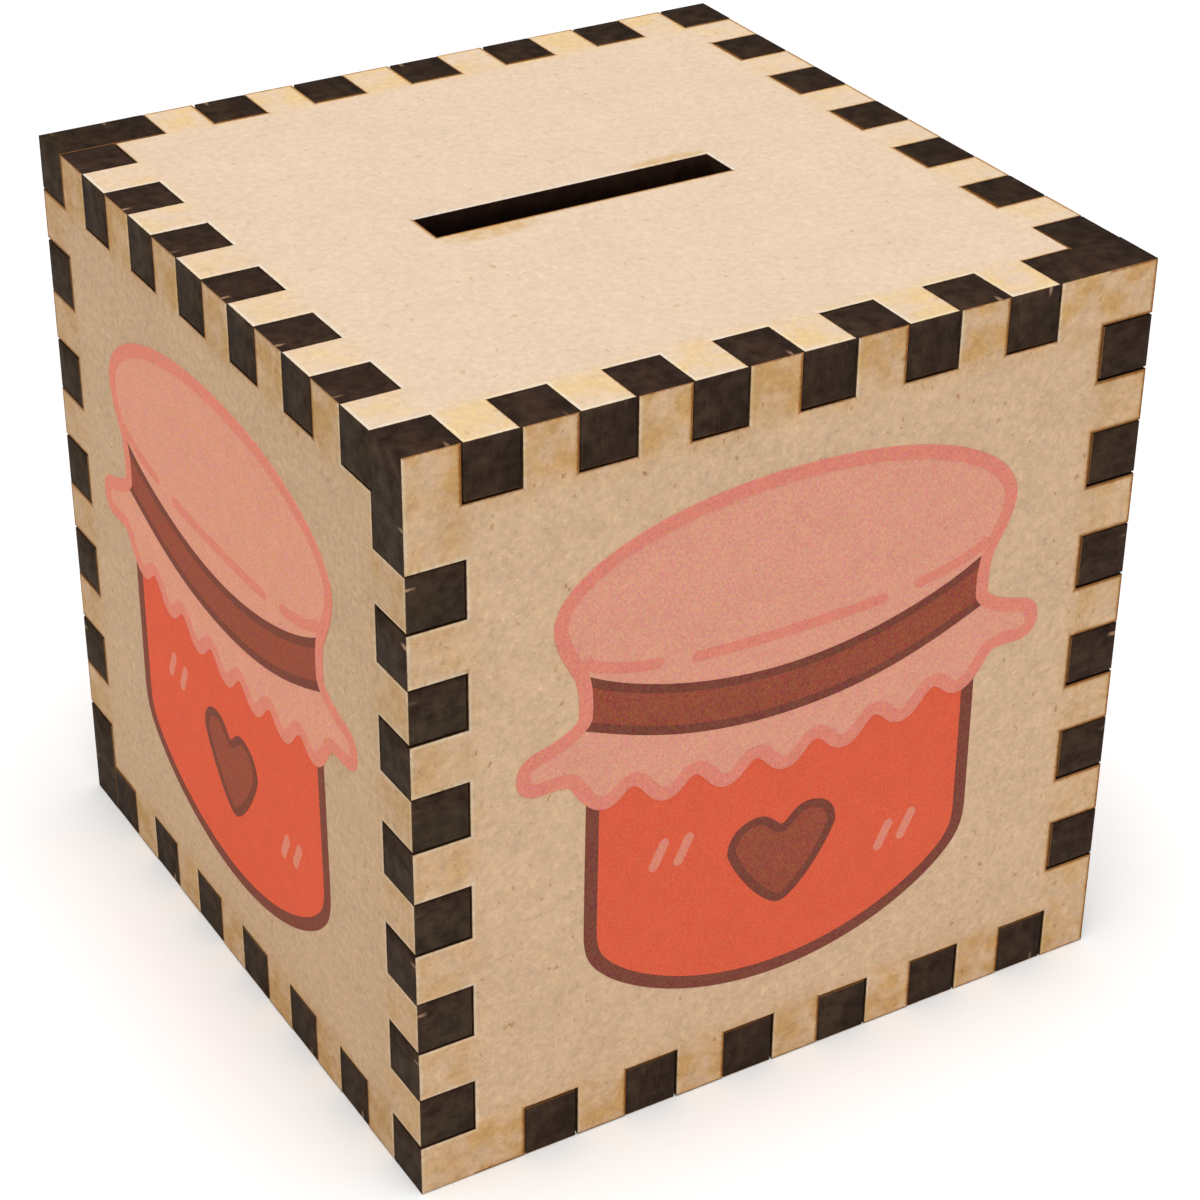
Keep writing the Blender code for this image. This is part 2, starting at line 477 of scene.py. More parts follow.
def box_board_tree(outline, board):
    """One board of the box: its outline, its slot or hole, its thickness and its place.

    Stores on each face the way into the board from its cut, measured along +x and +y. It steers the
    painted highlights on the arrises and how far the scorch reaches in.
    """
    graph, given, result = shape_group("box_board", {
        "Odd First": 1, "Keeps Corners": False, "Stock": 0, "Tone": 1.0, "Lean": (0.0, 0.0, 0.0),
        "Slot Length": 0.0, "Slot Width": SLOT_WIDTH, "Hole Radius": 0.0, "Hole Step": 0.0,
        "Location": (0.0, 0.0, 0.0), "Rotation": (0.0, 0.0, 0.0), "Material": "material",
    })
    edge = placed(graph, outline, {
        "Odd First": given["Odd First"], "Keeps Corners": given["Keeps Corners"],
        "Lean": given["Lean"], "Seed": given["Stock"]}).outputs[0]
    slot = graph.node("GeometryNodeCurvePrimitiveQuadrilateral", {
        "Width": given["Slot Length"], "Height": given["Slot Width"]}, mode="RECTANGLE").outputs[0]
    hole = graph.node("GeometryNodeCurvePrimitiveCircle", {
        "Resolution": HOLE_STEPS, "Radius": given["Hole Radius"]}, mode="RADIUS").outputs[0]
    cut_outs = []
    for shape, size, step in ((slot, given["Slot Length"], 0.0),
                              (hole, given["Hole Radius"], given["Hole Step"])):
        reverse = graph.node("GeometryNodeReverseCurve", {"Curve": shape}).outputs[0]
        # Marks the walls of the slot and the hole for painted shade
        reverse = graph.store(graph.store(reverse, "step", step), "recess_shade", 1.0)
        cut_outs.append(graph.node("GeometryNodeSwitch", {
            "Switch": size > SMALLEST_CUT_OUT, "True": reverse}, input_type="GEOMETRY").outputs[0])
    solid = placed(graph, board, {"Outlines": graph.together(edge, *cut_outs)}).outputs[0]
    solid = graph.store(graph.store(solid, "stock", given["Stock"]), "tone", given["Tone"])
    upright = graph.node("ShaderNodeVectorRotate", {
        "Vector": graph.stored("inward", "FLOAT_VECTOR"), "Rotation": given["Rotation"],
    }, rotation_type="EULER_XYZ").outputs[0]
    edge_side = graph.vector("DOT_PRODUCT", upright, (1.0, 1.0, 0.0), out=1)
    solid = graph.store(solid, "edge_side", edge_side, domain="FACE")
    put = graph.node("GeometryNodeTransform", {
        "Geometry": solid, "Translation": given["Location"], "Rotation": given["Rotation"]}).outputs[0]
    graph.feed(result.inputs[0], graph.painted(put, given["Material"]))
    return graph.tree


def turn_right_side_out(piece):
    """Turns a closed piece right side out if its walk came out clockwise."""
    solid = bmesh.new()
    solid.from_mesh(piece.data)
    bmesh.ops.recalc_face_normals(solid, faces=solid.faces)
    solid.to_mesh(piece.data)
    solid.free()


def make_boards(tree, material):
    quarter = math.pi / 2
    out = HALF - BOARD / 2
    walls = {
        "front_panel": (FRONT, True, (0.0, -out, HALF)),
        "right_panel": (RIGHT, False, (out, 0.0, HALF)),
        "back_panel": (BACK, True, (0.0, out, HALF)),
        "left_panel": (LEFT, False, (-out, 0.0, HALF)),
    }
    made = {node: {
        "Odd First": 0, "Keeps Corners": keeps, "Stock": turn,
        "Tone": LEFT_SHADE_TONE if turn == LEFT else 1.0, "Lean": (0.0, 0.0 if keeps else LEAN, 0.0),
        "Location": place, "Rotation": (quarter, 0.0, turn * quarter),
    } for node, (turn, keeps, place) in walls.items()}
    made["top_panel"] = {
        "Odd First": 1, "Stock": TOP, "Slot Length": SLOT_LENGTH, "Lean": (-LEAN, 0.0, 0.0),
        "Location": (0.0, 0.0, SIDE - BOARD / 2)}
    made["bottom_panel"] = {
        "Odd First": 1, "Stock": BASE, "Hole Radius": HOLE_RADIUS, "Lean": (-LEAN, 0.0, 0.0),
        "Hole Step": REBATE_RADIUS - HOLE_RADIUS,
        "Location": (0.0, 0.0, BOARD / 2), "Rotation": (math.pi, 0.0, 0.0)}
    for node, values in made.items():
        piece = grown(node + "_board", tree, {**values, "Material": material})
        turn_right_side_out(piece)
        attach(piece, "box")
        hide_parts(node)


# ---------------------------------------------------------------- the print

def ink_film_tree():
    """A flat sheet of ink, thickened into a closed film and repeated on the four walls."""
    graph, given, result = shape_group("ink_film", {
        "Sheet": "geometry", "Layer": 1, "Ink": INK, "Side": SIDE, "Walls": 4, "Material": "material",
    })
    ink, half = given["Ink"], given["Side"] * 0.5
    sunk = graph.moved(given["Sheet"], offset=graph.xyz(0.0, 0.0, ink * -1))
    raised = graph.node("GeometryNodeExtrudeMesh", {
        "Mesh": sunk, "Individual": False, "Offset Scale": given["Layer"] * ink + ink},
        mode="FACES").outputs[0]
    underside = graph.node("GeometryNodeFlipFaces", {"Mesh": sunk}).outputs[0]
    on_front = graph.node("GeometryNodeTransform", {
        "Geometry": graph.welded(graph.together(raised, underside), FILM_WELD),
        "Rotation": (math.pi / 2, 0.0, 0.0), "Translation": graph.xyz(0.0, half * -1, half)}).outputs[0]
    points = graph.node("GeometryNodeMeshLine", {"Count": given["Walls"], "Offset": (0.0, 0.0, 0.0)})
    turn = graph.node("GeometryNodeInputIndex").outputs[0] * (math.tau / given["Walls"])
    copies = graph.node("GeometryNodeInstanceOnPoints", {
        "Points": points.outputs[0], "Instance": on_front, "Rotation": graph.xyz(0.0, 0.0, turn)})
    graph.feed(result.inputs[0], graph.painted(copies.outputs[0], given["Material"]))
    return graph.tree


def ink_area_tree(film):
    """A closed curve filled with ink."""
    graph, given, result = shape_group("ink_area", {
        "Curve": "geometry", "Layer": 1, "Material": "material"})
    sheet = graph.node("GeometryNodeFillCurve", {"Curve": given["Curve"]}, mode="NGONS")
    coat = placed(graph, film, {
        "Sheet": sheet.outputs[0], "Layer": given["Layer"], "Material": given["Material"]})
    graph.feed(result.inputs[0], coat.outputs[0])
    return graph.tree


def ink_line_tree(film):
    """A drawn line of ink along a curve. The ends of an open curve are rounded."""
    graph, given, result = shape_group("ink_line", {
        "Curve": "geometry", "Width": OUTLINE_WIDTH, "Spacing": 0.25 * MM, "Layer": 1,
        "Material": "material"})
    even = graph.node("GeometryNodeResampleCurve", {
        "Curve": given["Curve"], "Length": given["Spacing"]}, mode="LENGTH").outputs[0]
    half = given["Width"] * 0.5
    from_start = graph.node("GeometryNodeSplineParameter").outputs["Length"]
    length = graph.node("GeometryNodeSplineLength").outputs["Length"]
    to_end = graph.maths("MINIMUM", from_start, length - from_start)
    short = 1 - graph.maths("MINIMUM", (to_end + SHORTEST_CAP) / half, 1)
    round_end = graph.maths("SQRT", 1 - short * short)
    cyclic = graph.node("GeometryNodeInputSplineCyclic").outputs[0]
    reach = graph.maths("MAXIMUM", round_end, cyclic)
    ribbed = graph.node("GeometryNodeSetCurveNormal", {"Curve": even}, mode="Z_UP").outputs[0]
    profile = graph.node("GeometryNodeCurvePrimitiveLine", {
        "Start": graph.xyz(half * -1, 0.0, 0.0), "End": graph.xyz(half, 0.0, 0.0)})
    sheet = graph.node("GeometryNodeCurveToMesh", {
        "Curve": ribbed, "Profile Curve": profile.outputs[0], "Scale": reach}).outputs[0]
    coat = placed(graph, film, {
        "Sheet": sheet, "Layer": given["Layer"], "Material": given["Material"]})
    graph.feed(result.inputs[0], coat.outputs[0])
    return graph.tree


def knot(x, y, out_x=0.0, out_y=0.0, in_x=None, in_y=None):
    """One point of a drawn path in millimetres, with the pull of the curve leaving and reaching it."""
    in_x = out_x if in_x is None else in_x
    in_y = out_y if in_y is None else in_y
    return (x, y, out_x, out_y, in_x, in_y)


def mirrored(right_half):
    """The same path run backwards on the left."""
    return [(-x, y, in_x, -in_y, out_x, -out_y)
            for x, y, out_x, out_y, in_x, in_y in reversed(right_half)]


def drawn(paths, closed):
    """A curve object holding the paths."""
    curve = bpy.data.curves.new("drawing", "CURVE")
    curve.dimensions = "3D"
    curve.resolution_u = 20
    for path in paths:
        spline = curve.splines.new("BEZIER")
        spline.bezier_points.add(len(path) - 1)
        spline.use_cyclic_u = closed
        for point, (x, y, out_x, out_y, in_x, in_y) in zip(spline.bezier_points, path):
            point.co = Vector((x, y, 0.0)) * MM
            point.handle_left_type = "FREE"
            point.handle_right_type = "FREE"
            point.handle_right = Vector((x + out_x, y + out_y, 0.0)) * MM
            point.handle_left = Vector((x - in_x, y - in_y, 0.0)) * MM
    made = bpy.data.objects.new("drawing", curve)
    bpy.context.scene.collection.objects.link(made)
    return made


def jar_side():
    """Right-hand side of the jar from the middle of its foot up to the cloth."""
    return [knot(0, -29.0, 8.0, 0), knot(19.6, -22.6, 2.2, 2.0, 4.4, 3.6), knot(22.6, -16.5, 0, 3.0),
            knot(22.4, 3.5, 0, 0)]


def frill_edge():
    """Lower edge of the cloth, a wave from the middle to the right."""
    wave = []
    for k in range(FRILL_WAVES):
        x = FRILL_PITCH * k
        swing = -FRILL_HEIGHT if k % 2 == 0 else FRILL_HEIGHT
        wave.append(knot(x, FRILL_MIDDLE + FRILL_SAG * x * x + swing, 1.5, 3.0 * FRILL_SAG * x))
    return wave


def cloth_side():
    """Right-hand side of the cloth: frill, its tip, the tied neck and the domed top."""
    return frill_edge() + [
        knot(24.6, 2.3, 1.2, 0.7, 0.8, 0.9),
        knot(28.6, 2.7, 1.0, 0.1),
        knot(30.1, 4.3, 0, 1.0),
        knot(28.2, 6.3, -1.6, 0.4),
        knot(23.3, 9.0, -0.1, 1.4, -0.6, 1.4),
        knot(23.9, 14.3, 0.7, 1.4),
        knot(26.0, 19.8, 0, 4.4, 0, 2.0),
        knot(0, 29.3, -16.5, 0),
    ]


def closed_shape(right_half):
    return right_half + mirrored(right_half)[1:-1]


BAND_TOP = [knot(0, 7.6, 10.0, 0), knot(23.4, 13.4, 4.2, 2.6)]
BAND_FOOT = [knot(0, 2.9, 11.0, 0), knot(23.5, 8.3, 5.7, 2.4)]


def across(right_half):
    """A path from left to right, mirrored about the middle."""
    return mirrored(right_half)[:-1] + right_half


def band_shape():
    """The ribbon round the neck: along its foot to the right, and back along its top."""
    foot, top = across(BAND_FOOT), across(BAND_TOP)
    back = [(x, y, -in_x, -in_y, -out_x, -out_y) for x, y, out_x, out_y, in_x, in_y in reversed(top)]
    straight_out = {id(foot[-1]), id(back[-1])}
    straight_in = {id(foot[0]), id(back[0])}
    path = []
    for point in foot + back:
        x, y, out_x, out_y, in_x, in_y = point
        if id(point) in straight_out:
            out_x, out_y = 0, 0
        if id(point) in straight_in:
            in_x, in_y = 0, 0
        path.append((x, y, out_x, out_y, in_x, in_y))
    return path


def heart_side():
    return [knot(0, -20.4, 1.4, 0), knot(6.1, -12.9, 0, 2.0, 1.2, 3.2), knot(3.1, -9.9, -1.6, 0),
            knot(0, -11.7, -1.0, 0)]


def strokes():
    """Short slanted strokes of shine on the glass."""
    lean_x, lean_y = 1.7, 3.5
    starts = [(-15.6, -11.6), (-12.7, -11.9), (12.0, -18.9), (14.9, -18.4)]
    pull = (lean_x / 2, lean_y / 2)
    return [[knot(x, y, *pull), knot(x + lean_x, y + lean_y, *pull)] for x, y in starts]


def creases():
    """Folds drawn under the dome of the cloth."""
    middle = [knot(-11.5, 12.3, 4.0, -0.5), knot(11.5, 12.3, 4.0, 0.5)]
    right = [knot(14.6, 12.7, 2.4, 0.3), knot(23.6, 15.6, 1.6, 1.8)]
    return [middle, right, mirrored(right)]


def joined(name, pieces, material):
    """One mesh object of one material from several objects, which are removed."""
    whole = bmesh.new()
    for piece in pieces:
        whole.from_mesh(piece.data)
    for face in whole.faces:
        face.material_index = 0
        face.smooth = False
    mesh = bpy.data.meshes.new(name)
    whole.to_mesh(mesh)
    whole.free()
    mesh.materials.append(material)
    for piece in pieces:
        bpy.data.objects.remove(piece, do_unlink=True)
    made = bpy.data.objects.new(name, mesh)
    bpy.context.scene.collection.objects.link(made)
    return made


def make_print(inks):
    film = ink_film_tree()
    area, line = ink_area_tree(film), ink_line_tree(film)
    jar = closed_shape(jar_side() + [knot(0, 3.5)])
    glass = jar_side()
    glass_line = mirrored(glass)[:-1] + glass
    cloth = closed_shape(cloth_side())
    heart = closed_shape(heart_side())

    def filled(paths, layer, ink):
        return grown("area", area, {"Layer": layer, "Material": inks[ink]}, drawn(paths, True))

    def lined(paths, width, layer, ink, closed=False):
        return grown("line", line, {"Width": width, "Layer": layer, "Material": inks[ink]},
                     drawn(paths, closed))

    pieces = {
        "jam": [filled([jar], 1, "jam")],
        "shine": [lined(strokes(), SHINE_WIDTH, 2, "shine")],
        "jar_line": [lined([glass_line], OUTLINE_WIDTH, 2, "jar_line")],
        "cloth": [filled([cloth], 3, "cloth")],
        "ribbon": [filled([band_shape()], 4, "ribbon"), filled([heart], 2, "ribbon")],
        "ribbon_line": [lined([across(BAND_TOP), across(BAND_FOOT)], THIN_WIDTH, 5, "ribbon_line"),
                        lined([heart], THIN_WIDTH, 3, "ribbon_line", True)],
        "cloth_line": [lined([cloth], OUTLINE_WIDTH, 6, "cloth_line", True),
                       lined(creases(), OUTLINE_WIDTH * 0.8, 5, "cloth_line")],
    }
    for name, shapes in pieces.items():
        piece = joined("print_" + name, shapes, inks[name])
        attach(piece, "box")


# ---------------------------------------------------------------- shader groups

WHITE = (1.0, 1.0, 1.0)
MID_GREY = (0.5, 0.5, 0.5)
HUE_DRIFT = (0.03, 0.06, 0.12)      # the board wanders most between cold and warm
SPECK_HUE = (0.65, 1.0, 1.45)       # what a warm speck takes from red, green and blue
STIPPLE_HUE = (0.5, 2.8, 4.4)
STIPPLE_DEPTH = 0.38
DARK_STIPPLE_DEPTH = 0.80
NICK_PLACE = 0.78                   # along the finger tip, from 0 to 1


def fibre_group():
    """Pressed fibre seen from the face: clouds, grain, flecks, curled hairs, specks, a drift of hue."""
    graph, given, result = shader_group("pressed_fibre", {
        "Place": (0.0, 0.0, 0.0), "Cloud Size": 7.0 * MM, "Grain Size": 0.85 * MM,
        "Cloud Depth": 0.15, "Grain Depth": 0.48, "Fleck Depth": 0.17, "Thread Size": 1.6 * MM,
        "Thread Depth": 0.08, "Speck Depth": 0.24, "Contrast": 1.0,
    }, {"Tint": "colour", "Shade": float, "Relief": float})
    place = given["Place"]
    grain_scale = 1 / given["Grain Size"]
    cloud_scale = 1 / given["Cloud Size"]
    bend = graph.noise(place, grain_scale * 0.6, detail=1.0, output="Color")
    bent = place + graph.scaled(bend - MID_GREY, given["Grain Size"])
    cloud = graph.noise(place, cloud_scale, detail=3.0, roughness=0.6)
    grain = graph.noise(bent, grain_scale, detail=4.0, roughness=0.68)
    fleck_scale = grain_scale * 1.5
    dark, light = (graph.ramp(graph.noise(bent * stretch, fleck_scale), 0.62, 0.86)
                   for stretch in ((0.7, 1.0, 1.0), (1.0, 0.7, 1.4)))
    shade = 1 + (cloud - 0.5) * given["Cloud Depth"]
    shade = shade + (grain - 0.5) * given["Grain Depth"]
    shade = shade + (light - dark) * given["Fleck Depth"]

    thread_scale = 1 / given["Thread Size"]

    def threads(shift):
        """Short curled hairs along the level line of a noise."""
        moved = bent + shift
        level = abs(graph.noise(moved, thread_scale, detail=2.0, roughness=0.5) - 0.5)
        broken = graph.ramp(graph.noise(moved, thread_scale * 1.3, 1.0), 0.5, 0.6)
        return graph.ramp(level, 0.02, 0.0) * broken

    hairs = threads((0.11, 0.0, 0.0)) - threads((0.0, 0.23, 0.0))
    shade = shade + hairs * given["Thread Depth"]
    specks = graph.noise(bent * (1.0, 0.6, 1.0), grain_scale * 1.2, detail=1.0)
    specks = graph.ramp(specks, 0.70, 0.79)
    specks = graph.scaled(SPECK_HUE, specks * given["Speck Depth"])
    drift = graph.noise(place, cloud_scale * 7.0, detail=2.0, output="Color")
    drift = (drift - MID_GREY) * HUE_DRIFT
    tint = graph.xyz(shade, shade, shade) + drift - specks
    tint = graph.scaled(tint - WHITE, given["Contrast"])
    graph.feed(result.inputs["Tint"], tint + WHITE)
    graph.feed(result.inputs["Shade"], shade)
    graph.feed(result.inputs["Relief"], grain)
    return graph.tree


def haze_group():
    """Golden smoke round the rim of a board, in patches, and at two ends of a slot."""
    graph, given, result = shader_group("smoke_haze", {
        "Place": (0.0, 0.0, 0.0), "Pattern": (0.0, 0.0, 0.0), "Half Side": HALF, "Rim": BOARD,
        "Patch Size": 3.2 * MM, "Column Strength": 0.62, "Row Extra": 0.40, "Slot": 0.0,
    }, {"Rim": float, "Beside Slot": float})
    x, y, _ = graph.parts_of(given["Place"])
    to_rim = given["Half Side"] - graph.maths("MAXIMUM", abs(x), abs(y))
    patch_scale = 1 / given["Patch Size"]
    patches = graph.noise(given["Pattern"], patch_scale, detail=3.0, roughness=0.55)
    wide = given["Rim"] * 1.45
    narrow = given["Rim"] * 0.75
    rim = graph.ramp(to_rim, narrow, wide, 1.0, 0.0)
    strength = graph.ramp(patches, 0.33, 0.68, 0.12, 1.0)
    on_row = abs(y) > abs(x)
    strength = strength * (given["Column Strength"] + on_row * given["Row Extra"])

    def stain(centre_x, centre_y, reach_x, reach_y):
        along = (x - centre_x) / reach_x
        across = (y - centre_y) / reach_y
        return along * along + across * across

    near_stain = stain(-12.0 * MM, -3.4 * MM, 5.5 * MM, 2.0 * MM)
    far_stain = stain(13.2 * MM, 3.1 * MM, 5.0 * MM, 1.2 * MM)
    beside_slot = graph.ramp(graph.maths("MINIMUM", near_stain, far_stain), 1.6, 0.0)
    broken = graph.noise(given["Pattern"], patch_scale * 3.0, detail=3.0, roughness=0.6)
    beside_slot = beside_slot * graph.ramp(broken, 0.34, 0.62, 0.45, 1.0)
    graph.feed(result.inputs["Rim"], rim * strength)
    graph.feed(result.inputs["Beside Slot"], beside_slot * given["Slot"])
    return graph.tree


def char_group():
    """A wall cut by the beam: dark brown, faintly ribbed through the thickness of the board.

    Each finger tip may keep a pale nick where the beam started, near the outside face.
    """
    graph, given, result = shader_group("charred_cut", {
        "Place": (0.0, 0.0, 0.0), "Pattern": (0.0, 0.0, 0.0), "Rib Width": 0.30 * MM,
        "Blotch Size": 1.6 * MM, "Half Side": HALF, "Finger Width": BOARD, "Nick Reach": 1.3 * MM,
    }, {"Tone": float, "Nicks": float, "Relief": float})
    rib_scale = 1 / given["Rib Width"]
    ribs = graph.noise(given["Pattern"] * (1.0, 1.0, 0.1), rib_scale, detail=3.0, roughness=0.65)
    blotches = graph.noise(given["Pattern"], 1 / given["Blotch Size"], detail=4.0, roughness=0.6)
    tone = ribs * 0.22 + blotches * 0.78

    x, y, z = graph.parts_of(given["Place"])
    size_x, size_y = abs(x), abs(y)
    on_side = size_x > size_y
    along = on_side * y + (1 - on_side) * x
    cells = (along + given["Half Side"]) / given["Finger Width"]
    cell = graph.maths("FLOOR", cells)
    off = abs(cells - cell - NICK_PLACE)
    side = on_side * 3 + (graph.maths("SIGN", x) + graph.maths("SIGN", y) * 7)
    slab = graph.parts_of(graph.scaled(given["Pattern"] - given["Place"], 10))[0]
    luck = graph.node("ShaderNodeTexWhiteNoise", {"Vector": graph.xyz(cell, side, slab)}).outputs[0]
    kept = graph.ramp(luck, 0.55, 0.90)
    wobble = (blotches - 0.5) * 0.12
    line = graph.ramp(off + wobble, 0.042, 0.012)
    outside = given["Finger Width"] * 0.5
    start = outside - given["Nick Reach"]
    deep = graph.ramp(z, start, outside - given["Nick Reach"] * 0.3)
    to_rim = given["Half Side"] - graph.maths("MAXIMUM", size_x, size_y)
    on_tip = to_rim < given["Finger Width"] * 0.1
    nicks = line * deep * (kept * on_tip)
    graph.feed(result.inputs["Tone"], graph.ramp(tone, 0.30, 0.70))
    graph.feed(result.inputs["Nicks"], nicks)
    graph.feed(result.inputs["Relief"], ribs)
    return graph.tree


def print_grain_group():
    """The fine stipple of printed ink over fibreboard, a little different in each primary."""
    graph, given, result = shader_group("print_grain", {
        "Place": (0.0, 0.0, 0.0), "Dot Size": 0.24 * MM, "Depth": STIPPLE_DEPTH,
    }, {"Tint": "colour", "Shade": float})
    dots = graph.node("ShaderNodeTexNoise", {
        "Vector": given["Place"], "Scale": 1 / given["Dot Size"], "Detail": 2.0, "Roughness": 0.6})
    clouds = graph.noise(given["Place"], 1 / (given["Dot Size"] * 9), detail=2.0, roughness=0.5)
    swing = dots.outputs["Fac"] - 0.5
    swing = swing + (clouds - 0.5) * 0.35
    shade = 1 + swing * given["Depth"]
    primaries = (dots.outputs["Color"] - MID_GREY) * STIPPLE_HUE
    tint = graph.xyz(shade, shade, shade) + graph.scaled(primaries, given["Depth"])
    graph.feed(result.inputs["Tint"], tint)
    graph.feed(result.inputs["Shade"], shade)
    return graph.tree


# ---------------------------------------------------------------- materials

def fresh_material(name):
    material = bpy.data.materials.new(name)
    material.use_nodes = True
    material.node_tree.nodes.clear()
    return material, Graph(material.node_tree)


def finished(graph, shader):
    graph.node("ShaderNodeOutputMaterial", {"Surface": shader})


def attribute(graph, name, output):
    return graph.node("ShaderNodeAttribute", attribute_name=name).outputs[output]


def bumped(graph, height, distance, strength):
    return graph.node("ShaderNodeBump", {
        "Height": height, "Distance": distance, "Strength": strength}).outputs[0]


BOARD_COLOUR = (0.640, 0.458, 0.3025, 1.0)
# Golden smoke haze; also the colour of the painted golden highlight on the arrises
HAZE_AND_HIGHLIGHT_TINT = (0.88, 0.76, 0.50, 1.0)
SCORCH_TINT = (0.45, 0.27, 0.13, 1.0)
CHAR_DARK = (0.024, 0.013, 0.009, 1.0)
CHAR_LIGHT = (0.060, 0.037, 0.025, 1.0)
NICK_COLOUR = (0.34, 0.23, 0.15, 1.0)
# Painted shade inside the slot and the hole
RECESS_SHADE_TINT = (0.40, 0.27, 0.22, 1.0)
# Painted highlight, pale, on the arrises of the cuts on one side
ARRIS_HIGHLIGHT_TINT = (1.05, 1.20, 1.38, 1.0)
TOP_HAZE_TINT = (1.04, 0.97, 0.70, 1.0)
# Painted shade on the face of the left board
LEFT_SHADE_TINT = (0.99, 0.97, 0.92, 1.0)
# Painted light on char that faces left
LEFT_CHAR_LIT_TINT = (1.12, 1.26, 1.22, 1.0)
# Painted light on the inks of the left wall
LEFT_PALE_INK_LIT_TINT = (1.09, 1.04, 0.96, 1.0)
LEFT_DEEP_INK_LIT_TINT = (1.09, 0.95, 0.79, 1.0)
# Painted shade on char that faces up
UPWARD_CHAR_SHADE_TINT = (0.82, 0.65, 0.52, 1.0)
# Painted shade on the upward char of the right and back boards
FAR_CHAR_SHADE_TINT = (0.79, 0.84, 0.77, 1.0)
RUBBER_COLOUR = (0.016, 0.016, 0.017, 1.0)
DUST_COLOUR = (0.060, 0.055, 0.050, 1.0)
DUST_SIZE = 3.5 * MM

NEXT_SHEET = (0.31, 0.17, 0.05)     # moves the fibre pattern on from one board to the next
WALL_CONTRAST = 1.45
TOP_CONTRAST = 0.85
HAZE_STRENGTH = 1.15
RAGGED_SIZE = 0.5 * MM
RAGGED_DEPTH = 0.5
SCORCH_DEPTH = 0.88
SCORCH_DRIFT = 0.22
FACE_ROUGHNESS = 0.62
CHAR_EXTRA_ROUGHNESS = 0.18
INK_ROUGHNESS = 0.6
DULL_GLOSS = 0.06

# Where each mark starts and is full, on the scale of burn: 0 on the face, 1 on the cut wall
# The first two bands are painted highlights on the arrises, pale and golden
ARRIS_HIGHLIGHT_BAND = (0.24, 0.48)
GOLDEN_HIGHLIGHT_BAND = (0.15, 0.42)
SCORCH_BAND = (0.47, 0.82)
HIDDEN_SCORCH_BAND = (0.10, 0.45)
CHAR_BAND = (0.90, 0.97)


